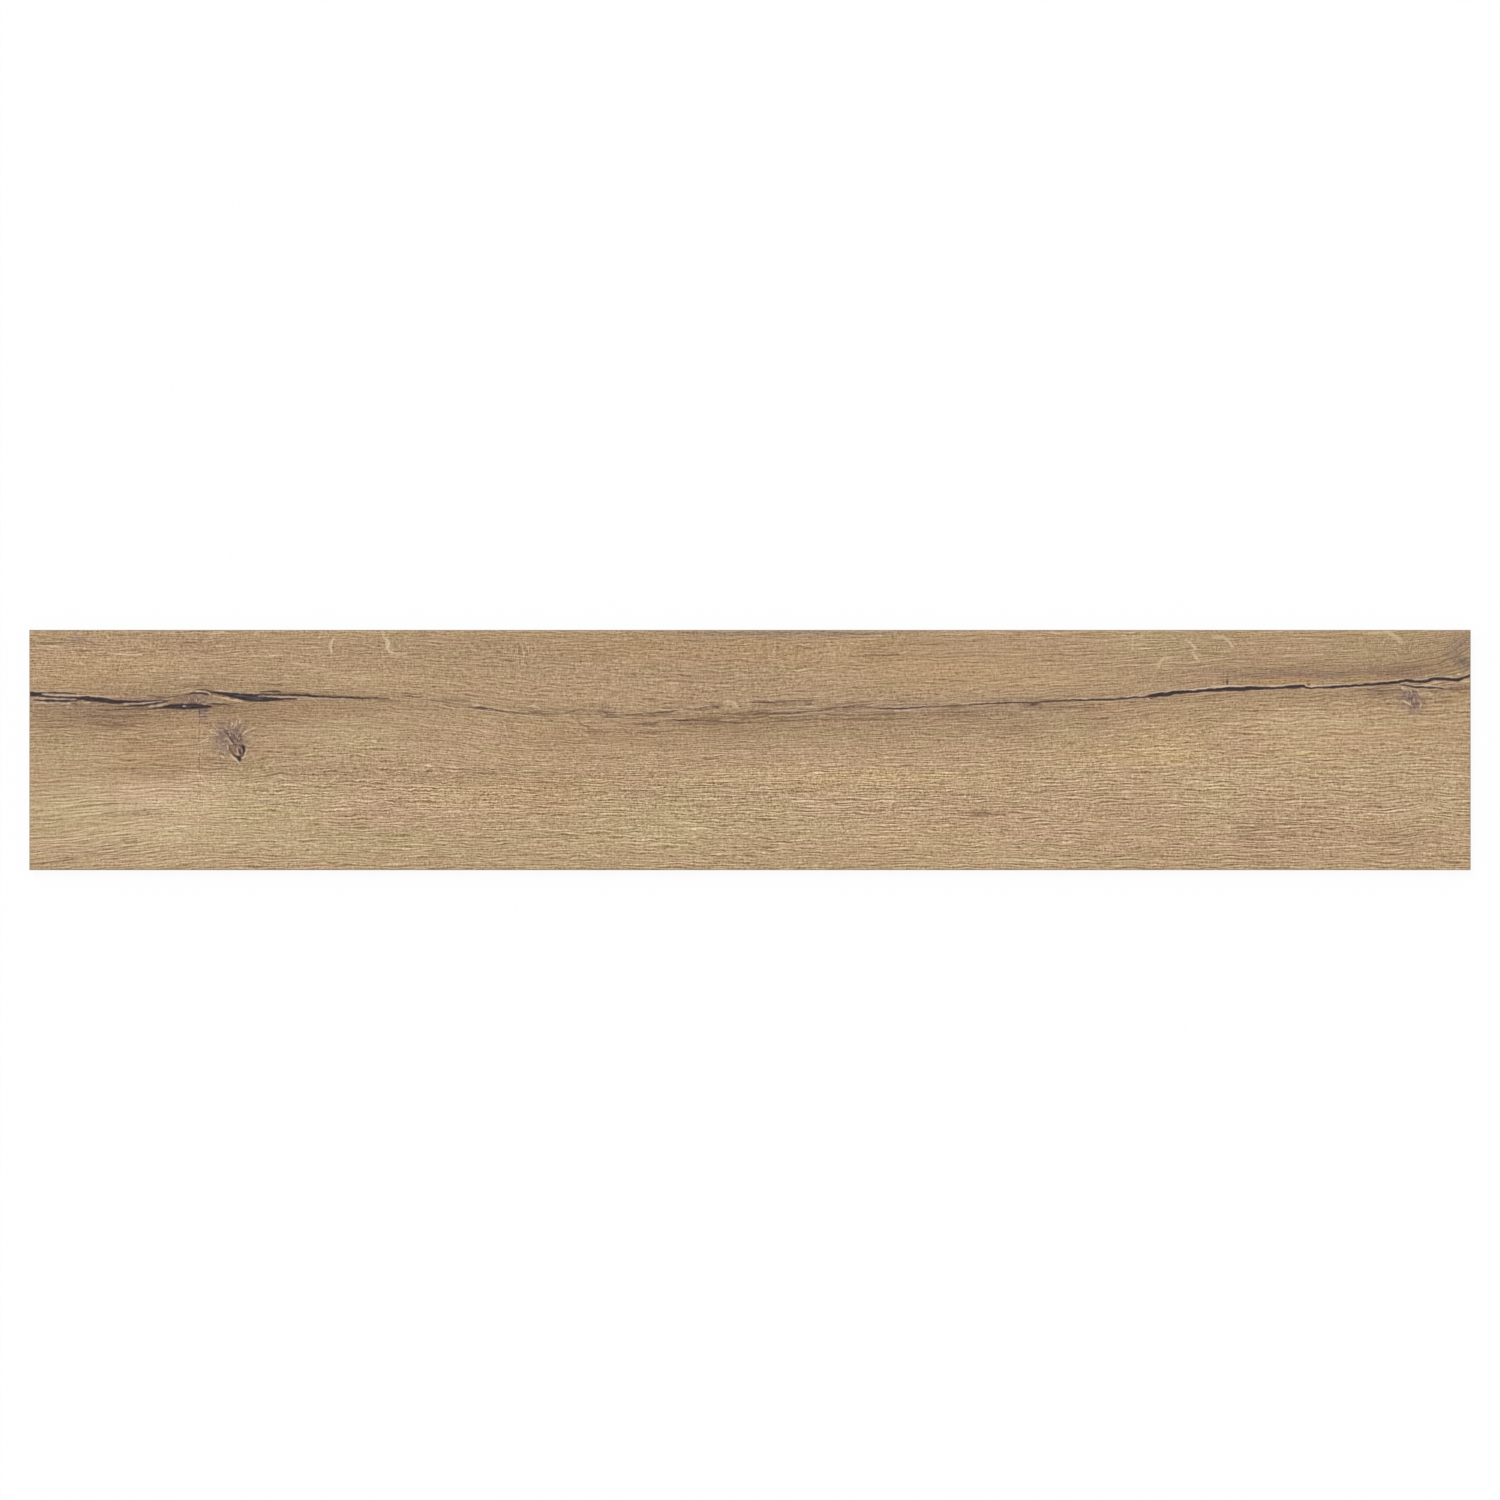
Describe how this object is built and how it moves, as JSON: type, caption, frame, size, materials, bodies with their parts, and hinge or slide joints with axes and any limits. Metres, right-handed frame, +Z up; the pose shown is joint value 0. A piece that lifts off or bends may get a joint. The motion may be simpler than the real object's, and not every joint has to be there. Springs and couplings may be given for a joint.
{
  "type": "wood-look porcelain plank tile",
  "caption": "Flat rectangular plank tile of fired porcelain with a split and knotted oak look on its matt face, bevelled edges and a pocketed back that keys into adhesive.",
  "frame": {"origin": "middle of the back, in the plane of the rib tips that bed into the adhesive", "axes": "+X along the plank's length, +Y across its width, +Z up out of the walking face"},
  "size_m": [1.2, 0.2, 0.0095],
  "materials": {
    "matt_porcelain": "matte"
  },
  "bodies": {
    "root": {"plank_tile": "matt_porcelain"}
  },
  "joints": []
}
